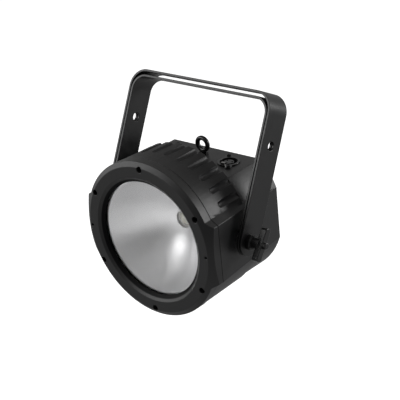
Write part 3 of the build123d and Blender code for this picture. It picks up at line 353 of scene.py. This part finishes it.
# %% [markdown]
# ## Rounded edges for the CAD pieces
#
# No real moulding or bent strap has a perfectly sharp edge: a moulded corner has a radius of
# about half a millimetre, and those radii draw the thin bright lines that make a black object
# readable. CAD leaves such edges sharp. A copy of a node's mesh is merged, its flat faces are
# joined, and a Bevel modifier rounds every edge above a given angle. The result stands for the
# CAD node and moves with the same body.
#
# Joining flat faces has a trap: a flat ring, such as the end of a barrel, could close into a
# face with a hole, and that fills as a disc. So each copy is first cut along the lamp's middle
# plane, and the cut is marked as a seam that joined faces don't cross.

# %% Helpers for finished pieces
bodies = frame["record"]["behaviour"]["bodies"]
body_of_node = {node: body for body, members in bodies.items() for node in members}


def finished(mesh, name, body, material, replaced):
    """Makes a finished mesh a piece that rides on a body and stands for CAD nodes."""
    piece = bpy.data.objects.new(name, mesh)
    bpy.context.scene.collection.objects.link(piece)
    mesh.materials.clear()
    mesh.materials.append(material)
    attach(piece, body)
    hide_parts(*replaced)
    return piece


def baked(maker, name):
    """The evaluated mesh of an object with live modifiers; the object itself is removed."""
    bpy.context.view_layer.update()
    graph = bpy.context.evaluated_depsgraph_get()
    mesh = bpy.data.meshes.new_from_object(maker.evaluated_get(graph))
    mesh.name = name
    bpy.data.objects.remove(maker)
    return mesh


# %% Rounding helper
SAME_POINT = 0.02 * MM    # corners closer than this are one corner
ON_PLANE = 0.001 * MM     # corners this close to the cut count as on it
SAME_PLANE_DEG = 0.6      # faces that turn by less are one flat face
SMOOTH_BELOW_DEG = 20     # curved faces turn by less from one to the next


def rounded(node, material, radius_mm, above_deg=40.0):
    """Stands in for a CAD node with the same shape and its edges rounded."""
    shape = bmesh.new()
    shape.from_mesh(nodes[node].data)
    bmesh.ops.remove_doubles(shape, verts=shape.verts, dist=SAME_POINT)
    bmesh.ops.dissolve_degenerate(shape, dist=SAME_POINT, edges=shape.edges)
    cut = bmesh.ops.bisect_plane(shape, geom=shape.verts[:] + shape.edges[:] + shape.faces[:],
                                 plane_co=beam, plane_no=(1.0, 0.0, 0.0), dist=ON_PLANE)
    for part in cut["geom_cut"]:
        if isinstance(part, bmesh.types.BMEdge):
            part.seam = True
    bmesh.ops.dissolve_limit(shape, angle_limit=math.radians(SAME_PLANE_DEG),
                             verts=shape.verts, edges=shape.edges, delimit={"SEAM"})
    mesh = bpy.data.meshes.new(node + "_work")
    shape.to_mesh(mesh)
    shape.free()
    maker = bpy.data.objects.new(node + "_work", mesh)
    bpy.context.scene.collection.objects.link(maker)
    edge = maker.modifiers.new("edge radius", "BEVEL")
    edge.width = radius_mm * MM
    edge.segments = 2
    edge.limit_method = "ANGLE"
    edge.angle_limit = math.radians(above_deg)
    edge.use_clamp_overlap = False
    mesh.shade_smooth()
    mesh.set_sharp_from_angle(angle=math.radians(SMOOTH_BELOW_DEG))
    evened = maker.modifiers.new("even shading", "WEIGHTED_NORMAL")
    evened.mode = "FACE_AREA"
    evened.weight = 80   # the large faces stay flat, the narrow rounding takes the turn
    evened.keep_sharp = True
    done = baked(maker, node + "_rounded")
    return finished(done, node + "_finished", body_of_node[node], material, [node])


print("edges are rounded with two faces in each")

# %% [markdown]
# The housing pieces, the straps and the sockets are rounded now. The radius is what the process
# leaves: half a millimetre on a moulding, a little less on small parts, and 0.4 mm on a coated
# strap whose blanked edge was tumbled. The barrel takes 0.4 mm too, because its seam groove is
# only 0.9 mm wide. The glass has ground edges of 0.6 mm. The bezel's slopes meet its faces at
# shallow angles, so its edges are rounded from 30 degrees on.

# %% Round the large pieces
rounding = [
    ("barrel", housing_black, 0.4),
    ("rear_housing", housing_black, 0.5),
    ("rear_panel", housing_black, 0.3),
    ("outer_yoke", strap_black, 0.4),
    ("inner_yoke", strap_black, 0.4),
    ("lens_glass", clear_glass, 0.6),
    ("right_knob_grip", knob_black, 0.5),
    ("left_knob_grip", knob_black, 0.5),
    ("dmx_in", socket_black, 0.2),
    ("dmx_out", socket_black, 0.2),
    ("power_in", socket_black, 0.2),
    ("power_out", socket_black, 0.2),
    ("fuse_holder", socket_black, 0.4),
    ("rear_panel_screws", black_oxide, 0.15),
    ("fan_screws", black_oxide, 0.15),
    ("dmx_screws", black_oxide, 0.15),
    ("power_screws", black_oxide, 0.15),
]
bezel = rounded("front_bezel", bezel_with_painted_shade, 0.5, above_deg=30.0)
print(bezel.name, len(bezel.data.polygons), "faces")
for node, material, radius_mm in rounding:
    piece = rounded(node, material, radius_mm)
    print(piece.name, len(piece.data.polygons), "faces,", radius_mm, "mm radius")

# %% [markdown]
# ## Trees for what repeats or follows a rule
#
# Screws on a circle and a spun bowl both follow a rule, so Geometry Nodes draw them. Every tree
# has named inputs for its sizes. A tree runs as a modifier on an empty mesh; its values are set
# by each socket's identifier before it is first evaluated, and the result is turned into a
# plain mesh.

# %% Geometry tree helpers


def new_tree(name, sizes):
    """An empty geometry tree with an input for each size; returns the tree and those sockets."""
    tree = bpy.data.node_groups.new(name, "GeometryNodeTree")
    tree.interface.new_socket("Geometry", in_out="OUTPUT", socket_type="NodeSocketGeometry")
    kinds = {int: "NodeSocketInt", float: "NodeSocketFloat",
             bpy.types.Material: "NodeSocketMaterial"}
    for label, value in sizes.items():
        socket = tree.interface.new_socket(label, in_out="INPUT", socket_type=kinds[type(value)])
        socket.default_value = value
    return tree, add(tree, "NodeGroupInput").outputs


def close_tree(tree, geometry, material):
    """Ends a tree in Realize Instances and Set Material."""
    smooth = add(tree, "GeometryNodeSetShadeSmooth", {"Geometry": geometry})
    real = add(tree, "GeometryNodeRealizeInstances", {"Geometry": smooth})
    painted = add(tree, "GeometryNodeSetMaterial", {"Geometry": real, "Material": material})
    add(tree, "NodeGroupOutput", {"Geometry": painted})


def grow(tree, name, sizes, after=None):
    """Runs a tree with the given sizes, then what after adds, and returns the plain mesh."""
    maker = bpy.data.objects.new(name + "_work", bpy.data.meshes.new(name + "_work"))
    bpy.context.scene.collection.objects.link(maker)
    live = maker.modifiers.new("tree", "NODES")
    live.node_group = tree
    for item in tree.interface.items_tree:
        if item.in_out == "INPUT" and item.name in sizes:
            live[item.identifier] = sizes[item.name]
    if after:
        after(maker)
    return baked(maker, name)


print("tree helpers ready")

# %% [markdown]
# ## The six bezel screws
#
# Socket head cap screws hold the bezel. The head is a short cylinder with a chamfered rim and a
# hexagon well for the key. One screw is drawn upright, the well is cut with a Mesh Boolean, and
# copies go round the bolt circle. Each copy is turned by its own random angle, since no one
# lines up the wells when tightening. A hexagon looks the same after a sixth of a turn, so that
# is the largest angle.

# %% Screw head
HEAD_SIDES, SHANK_SIDES, KEY_SIDES = 40, 24, 6
screw_sizes = {
    "Bolt circle": 98.0 * MM, "Screws": 6, "Head radius": 3.5 * MM, "Head height": 3.65 * MM,
    "Rim chamfer": 0.35 * MM, "Key size": 3.0 * MM, "Key depth": 2.4 * MM,
    "Shank radius": 2.0 * MM, "Shank length": 25.0 * MM, "Centre height": beam.z,
    "Face station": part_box("bezel_screws")[0].y, "Seed": 7, "Finish": black_oxide,
}
screw_tree, size = new_tree("screws on a circle", screw_sizes)
blank = add(screw_tree, "GeometryNodeMeshCylinder",
            {"Vertices": HEAD_SIDES, "Radius": size["Head radius"], "Depth": size["Head height"]})
rim = add(screw_tree, "GeometryNodeExtrudeMesh",
          {"Mesh": blank, "Selection": blank.outputs["Top"], "Offset Scale": size["Rim chamfer"]})
lost = add(screw_tree, "ShaderNodeMath",
           {0: size["Rim chamfer"], 1: size["Head radius"]}, operation="DIVIDE")
narrow = add(screw_tree, "ShaderNodeMath", {0: 1.0, 1: lost}, operation="SUBTRACT")
head = add(screw_tree, "GeometryNodeScaleElements",
           {"Geometry": rim, "Selection": rim.outputs["Top"], "Scale": narrow})
print("one head takes", len(screw_tree.nodes), "nodes")

# %% Hexagon well and shank
corner = add(screw_tree, "ShaderNodeMath",
             {0: size["Key size"], 1: math.sqrt(3)}, operation="DIVIDE")
tall = add(screw_tree, "ShaderNodeMath", {0: size["Key depth"], 1: 2.0}, operation="MULTIPLY")
well = add(screw_tree, "GeometryNodeMeshCylinder",
           {"Vertices": KEY_SIDES, "Radius": corner, "Depth": tall})
top = add(screw_tree, "ShaderNodeMath",
          {0: size["Head height"], 1: 0.5, 2: size["Rim chamfer"]}, operation="MULTIPLY_ADD")
raised_well = add(screw_tree, "GeometryNodeTransform",
                  {"Geometry": well,
                   "Translation": add(screw_tree, "ShaderNodeCombineXYZ", {"Z": top})})
cut = add(screw_tree, "GeometryNodeMeshBoolean",
          {"Mesh 1": head, "Mesh 2": raised_well}, operation="DIFFERENCE")
shank = add(screw_tree, "GeometryNodeMeshCylinder",
            {"Vertices": SHANK_SIDES, "Radius": size["Shank radius"],
             "Depth": size["Shank length"]})
length = add(screw_tree, "ShaderNodeMath",
             {0: size["Head height"], 1: size["Shank length"]}, operation="ADD")
below = add(screw_tree, "ShaderNodeMath", {0: length, 1: -0.5}, operation="MULTIPLY")
hung = add(screw_tree, "GeometryNodeTransform",
           {"Geometry": shank,
            "Translation": add(screw_tree, "ShaderNodeCombineXYZ", {"Z": below})})
screw = add(screw_tree, "GeometryNodeJoinGeometry", {"Geometry": cut})
screw_tree.links.new(hung.outputs["Geometry"], screw.inputs["Geometry"])
print("one screw takes", len(screw_tree.nodes), "nodes")

# %% Screws on their circle
ring = add(screw_tree, "GeometryNodeMeshCircle",
           {"Vertices": size["Screws"], "Radius": size["Bolt circle"]})
spin = add(screw_tree, "FunctionNodeRandomValue",
           {"Max": math.tau / KEY_SIDES, "Seed": size["Seed"]})
copies = add(screw_tree, "GeometryNodeInstanceOnPoints",
             {"Points": ring, "Instance": screw,
              "Rotation": add(screw_tree, "ShaderNodeCombineXYZ", {"Z": spin.outputs[1]})})
seat = add(screw_tree, "ShaderNodeMath", {0: size["Face station"], 1: top}, operation="ADD")
# the quarter turn about X points the heads along -Y
facing = add(screw_tree, "GeometryNodeTransform",
             {"Geometry": copies, "Rotation": (math.pi / 2, math.pi / 2, 0.0),
              "Translation": add(screw_tree, "ShaderNodeCombineXYZ",
                                 {"Y": seat, "Z": size["Centre height"]})})
close_tree(screw_tree, facing, size["Finish"])
screw_mesh = grow(screw_tree, "bezel_screws_turned", screw_sizes)
screw_mesh.set_sharp_from_angle(angle=math.radians(30))
finished(screw_mesh, "bezel_screws_finished", "head", black_oxide, ["bezel_screws"])
print("six screws,", len(screw_mesh.polygons), "faces")

# %% [markdown]
# ## The spun bowl
#
# The reflector is a flat disc of aluminium spun over a parabolic form, then polished and satin
# anodised. A parabola sends light from its focus out in a beam. The tree bends a flat grid: one
# way round it is the angle, the other way is the depth, and the radius follows from the
# parabola. The last row reaches out as the flange that the seal grips. Solidify gives the sheet
# its 1.2 mm, all of it to the back, so that the front of the flange stays where the glass and
# its seal expect it.

# %% Bowl tree
ROWS = 60          # rings of points from the neck to the flange
WALL = 1.2 * MM
bowl_sizes = {
    "Mouth radius": 77.5 * MM, "Neck radius": 12.0 * MM, "Flange radius": 82.4 * MM,
    "Mouth station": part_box("reflector")[0].y, "Depth": 61.0 * MM, "Centre height": beam.z,
    "Points round": 193, "Finish": spun_silver,
}
bowl_tree, size = new_tree("spun parabolic bowl", bowl_sizes)
sheet = add(bowl_tree, "GeometryNodeMeshGrid",
            {"Size X": 1.0, "Size Y": 1.0, "Vertices X": size["Points round"],
             "Vertices Y": ROWS})
spot = add(bowl_tree, "ShaderNodeSeparateXYZ",
           {"Vector": add(bowl_tree, "GeometryNodeInputPosition")})
angle = add(bowl_tree, "ShaderNodeMapRange",
            {"Value": spot.outputs["X"], "From Min": 0.5, "From Max": -0.5, "To Max": math.tau})
row = add(bowl_tree, "ShaderNodeMapRange",
          {"Value": spot.outputs["Y"], "From Min": 0.5, "From Max": -0.5, "To Max": ROWS - 1.0})
part = add(bowl_tree, "ShaderNodeMapRange", {"Value": row, "From Max": ROWS - 2.0})
squared = add(bowl_tree, "ShaderNodeMath", {0: part, 1: 2.0}, operation="POWER")
neck = add(bowl_tree, "ShaderNodeMath",
           {0: size["Neck radius"], 1: 2.0}, operation="POWER")
mouth = add(bowl_tree, "ShaderNodeMath",
            {0: size["Mouth radius"], 1: 2.0}, operation="POWER")
between = add(bowl_tree, "ShaderNodeMapRange",
              {"Value": squared, "To Min": neck, "To Max": mouth})
curve = add(bowl_tree, "ShaderNodeMath", {0: between, 1: 0.5}, operation="POWER")
print("the parabola takes", len(bowl_tree.nodes), "nodes")

# %% Bowl turned about the beam
is_flange = add(bowl_tree, "ShaderNodeMath",
                {0: row, 1: ROWS - 1.5}, operation="GREATER_THAN")
radius = add(bowl_tree, "ShaderNodeMapRange", {"Value": is_flange, "To Min": curve,
                                               "To Max": size["Flange radius"]})
back = add(bowl_tree, "ShaderNodeMath",
           {0: size["Mouth station"], 1: size["Depth"]}, operation="ADD")
station = add(bowl_tree, "ShaderNodeMapRange", {"Value": squared, "To Min": back,
                                                "To Max": size["Mouth station"]})
profile = add(bowl_tree, "ShaderNodeCombineXYZ", {"X": radius, "Y": station})
round_axis = add(bowl_tree, "ShaderNodeVectorRotate", {"Vector": profile, "Angle": angle},
                 rotation_type="Y_AXIS")
bent = add(bowl_tree, "GeometryNodeSetPosition",
           {"Geometry": sheet, "Position": round_axis,
            "Offset": add(bowl_tree, "ShaderNodeCombineXYZ", {"Z": size["Centre height"]})})
seamless = add(bowl_tree, "GeometryNodeMergeByDistance",
               {"Geometry": bent, "Distance": 0.01 * MM})
close_tree(bowl_tree, seamless, size["Finish"])


def thicken(maker):
    """Gives the bent sheet its wall."""
    wall = maker.modifiers.new("wall", "SOLIDIFY")
    wall.thickness = WALL
    wall.offset = -1.0


print("the bowl takes", len(bowl_tree.nodes), "nodes")

# %% Finished bowl
bowl_mesh = grow(bowl_tree, "reflector_spun", bowl_sizes, thicken)
shape = bmesh.new()
shape.from_mesh(bowl_mesh)
bmesh.ops.recalc_face_normals(shape, faces=shape.faces)
shape.to_mesh(bowl_mesh)
shape.free()
bowl_mesh.set_sharp_from_angle(angle=math.radians(40))
bowl = finished(bowl_mesh, "reflector_finished", "head", spun_silver, ["reflector"])
print("bowl", len(bowl_mesh.polygons), "faces,", [round(v / MM, 1) for v in bowl.dimensions], "mm")

# %% [markdown]
# ## Materials for the other nodes
#
# The remaining CAD nodes have the right shape, so they keep it and only take a finish.

# %% Finish the carried-over nodes
nodes_of_finish = {
    black_oxide: ["bezel_side_screws"],
    seal_rubber: ["lens_gasket"],
    inner_black: ["reflector_retainer", "reflector_holder", "fan_frame", "fan_rotor"],
    board_white: ["cob_board"],
    phosphor: ["cob_dome"],
    sheet_steel: ["bulkhead", "led_driver"],
    fin_silver: ["heatsink"],
    zinc_plate: ["heatsink_screws", "tie_screws", "fan_spacers", "safety_eye_nut", "pivot_inserts",
                 "pivot_studs"],
    solder_mask: ["control_board", "display_module"],
    smoked_window: ["display_window"],
    key_grey: ["button_menu", "button_down", "button_up", "button_enter"],
    contact_brass: ["dmx_in_pins", "dmx_out_contacts", "power_in_contacts", "power_out_contacts",
                    "right_knob_nut", "left_knob_nut"],
    latch_steel: ["dmx_out_latch"],
    eye_black: ["safety_eye"],
    fibre: ["friction_washers", "yoke_washers"],
    knob_black: ["right_knob_cap", "left_knob_cap"],
}
finishes = {name: material for material, names in nodes_of_finish.items() for name in names}
for name, material in finishes.items():
    nodes[name].data.materials.clear()
    nodes[name].data.materials.append(material)
unfinished = [node for node in nodes if node not in finishes and not nodes[node].hide_render]
print("finished", len(finishes), "nodes, left without a finish:", unfinished)

# %% [markdown]
# ## Floor, light and camera
#
# A pale floor lies below the lamp. Black plastic shows little of its own colour; what is seen
# on it is mostly the mirror image of what stands around. So three soft panels are set where
# they should be mirrored: the key light high on the front left puts a bright spot in the bowl,
# the left panel lights the sloped rim, and the low panel behind on the right glows along the
# barrel and the shoulder. The floor is hidden from those mirror images and from bounced light,
# because the pale surround already stands for it.

# %% Floor
FLOOR_HALF = 6.0    # metres from its middle to an edge
FLOOR_DROP = 0.10   # metres below the lamp's lowest point
FLOOR_GLOW = 0.60   # keeps the floor white without more light on the lamp
low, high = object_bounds()
floor_z = low.z - FLOOR_DROP
floor_mesh = bpy.data.meshes.new("floor")
floor_mesh.from_pydata([(-FLOOR_HALF, -FLOOR_HALF, floor_z), (FLOOR_HALF, -FLOOR_HALF, floor_z),
                        (FLOOR_HALF, FLOOR_HALF, floor_z), (-FLOOR_HALF, FLOOR_HALF, floor_z)],
                       [], [(0, 1, 2, 3)])
floor = bpy.data.objects.new("floor", floor_mesh)
bpy.context.scene.collection.objects.link(floor)
pale, pale_tree = new_material("pale studio floor")
pale_place = add(pale_tree, "ShaderNodeTexCoord").outputs["Object"]
pale_cloud = add(pale_tree, "ShaderNodeTexNoise", {"Vector": pale_place, "Scale": per_mm(900)})
pale_colour = add(pale_tree, "ShaderNodeValToRGB",
                  {"Fac": pale_cloud}, stops=[(0.3, "f4f4f4"), (0.7, "f7f7f7")])
close_material(pale_tree, {"Base Color": pale_colour, "Roughness": 0.9,
                           "Emission Color": linear("ffffff"), "Emission Strength": FLOOR_GLOW})
floor_mesh.materials.append(pale)
floor.visible_diffuse = False
floor.visible_glossy = False
print("floor at z %.3f" % floor_z)

# %% Light panels


def soft_light(name, place, target, size, power):
    """A rectangular panel of light at a place, turned to a target; metres and watts."""
    panel = bpy.data.lights.new(name, "AREA")
    panel.shape = "RECTANGLE"
    panel.size, panel.size_y = size
    panel.energy = power
    holder = bpy.data.objects.new(name, panel)
    holder.location = place
    holder.rotation_euler = (Vector(target) - Vector(place)).to_track_quat("-Z", "Y").to_euler()
    bpy.context.scene.collection.objects.link(holder)


lamp_middle = (low + high) / 2
soft_light("key", (-1.05, -1.25, 0.66), lamp_middle, (1.2, 0.8), 11)
soft_light("left panel", (-1.55, -0.45, 0.25), lamp_middle, (0.8, 1.0), 4)
soft_light("back panel", (1.10, 1.03, 0.32), lamp_middle, (0.6, 0.5), 12)
print("three soft lights around", [round(v, 3) for v in lamp_middle])

# %% [markdown]
# The surround is a pale room, darker on the side where the viewer stands, which gives the bowl
# its grey shade in the middle. The change between the two is smooth, so that it draws no edge
# on the glass. The Standard view keeps a white floor white.

# %% Surround
DARK_SIDE = Vector((0.55, -0.80, 0.24)).normalized()   # toward the viewer
DARK_WITHIN_DEG, PALE_BEYOND_DEG = 8, 40               # angles from that direction
DARK_GLOW, PALE_GLOW = 0.12, 0.42
world = bpy.data.worlds.new("studio")
world.use_nodes = True
sky = world.node_tree
sky.nodes.clear()
direction = add(sky, "ShaderNodeTexCoord").outputs["Generated"]
toward = add(sky, "ShaderNodeVectorMath",
             {0: direction, 1: DARK_SIDE}, operation="DOT_PRODUCT").outputs["Value"]
surround = add(sky, "ShaderNodeMapRange",
               {"Value": toward, "From Min": math.cos(math.radians(PALE_BEYOND_DEG)),
                "From Max": math.cos(math.radians(DARK_WITHIN_DEG)),
                "To Min": PALE_GLOW, "To Max": DARK_GLOW}, interpolation_type="SMOOTHSTEP")
glow = add(sky, "ShaderNodeBackground", {"Color": linear("ffffff"), "Strength": surround})
add(sky, "ShaderNodeOutputWorld", {"Surface": glow})
bpy.context.scene.world = world
bpy.context.scene.view_settings.view_transform = "Standard"
print("a pale surround, darker toward the viewer")

# %% [markdown]
# The camera stands on the right, above the lamp, and looks down at it. It is far away with a
# long lens, so the straps stay nearly parallel, and it is rolled a little to one side. Its
# three axes are worked out from those angles and set as a matrix.

# %% Camera
AZIMUTH_DEG, ELEVATION_DEG, ROLL_DEG = 42.28, 24.25, -5.749
CAMERA_PLACE = (1.052533, -1.197570, 0.553105)
azimuth, elevation, roll = map(math.radians, (AZIMUTH_DEG, ELEVATION_DEG, ROLL_DEG))
back = Vector((math.sin(azimuth) * math.cos(elevation), -math.cos(azimuth) * math.cos(elevation),
               math.sin(elevation)))
side = Vector((math.cos(azimuth), math.sin(azimuth), 0.0))
above = back.cross(side)
across = side * math.cos(roll) + above * math.sin(roll)
upward = above * math.cos(roll) - side * math.sin(roll)
camera_data = bpy.data.cameras.new("camera")
camera_data.sensor_width = 36.0
camera_data.lens = 116.55
camera_data.clip_end = 50.0
camera = bpy.data.objects.new("camera", camera_data)
bpy.context.scene.collection.objects.link(camera)
turned = Matrix((across, upward, back)).transposed().to_4x4()
camera.matrix_world = Matrix.Translation(CAMERA_PLACE) @ turned
bpy.context.scene.camera = camera
print("camera", [round(v, 3) for v in camera.location], "lens", camera_data.lens, "mm")
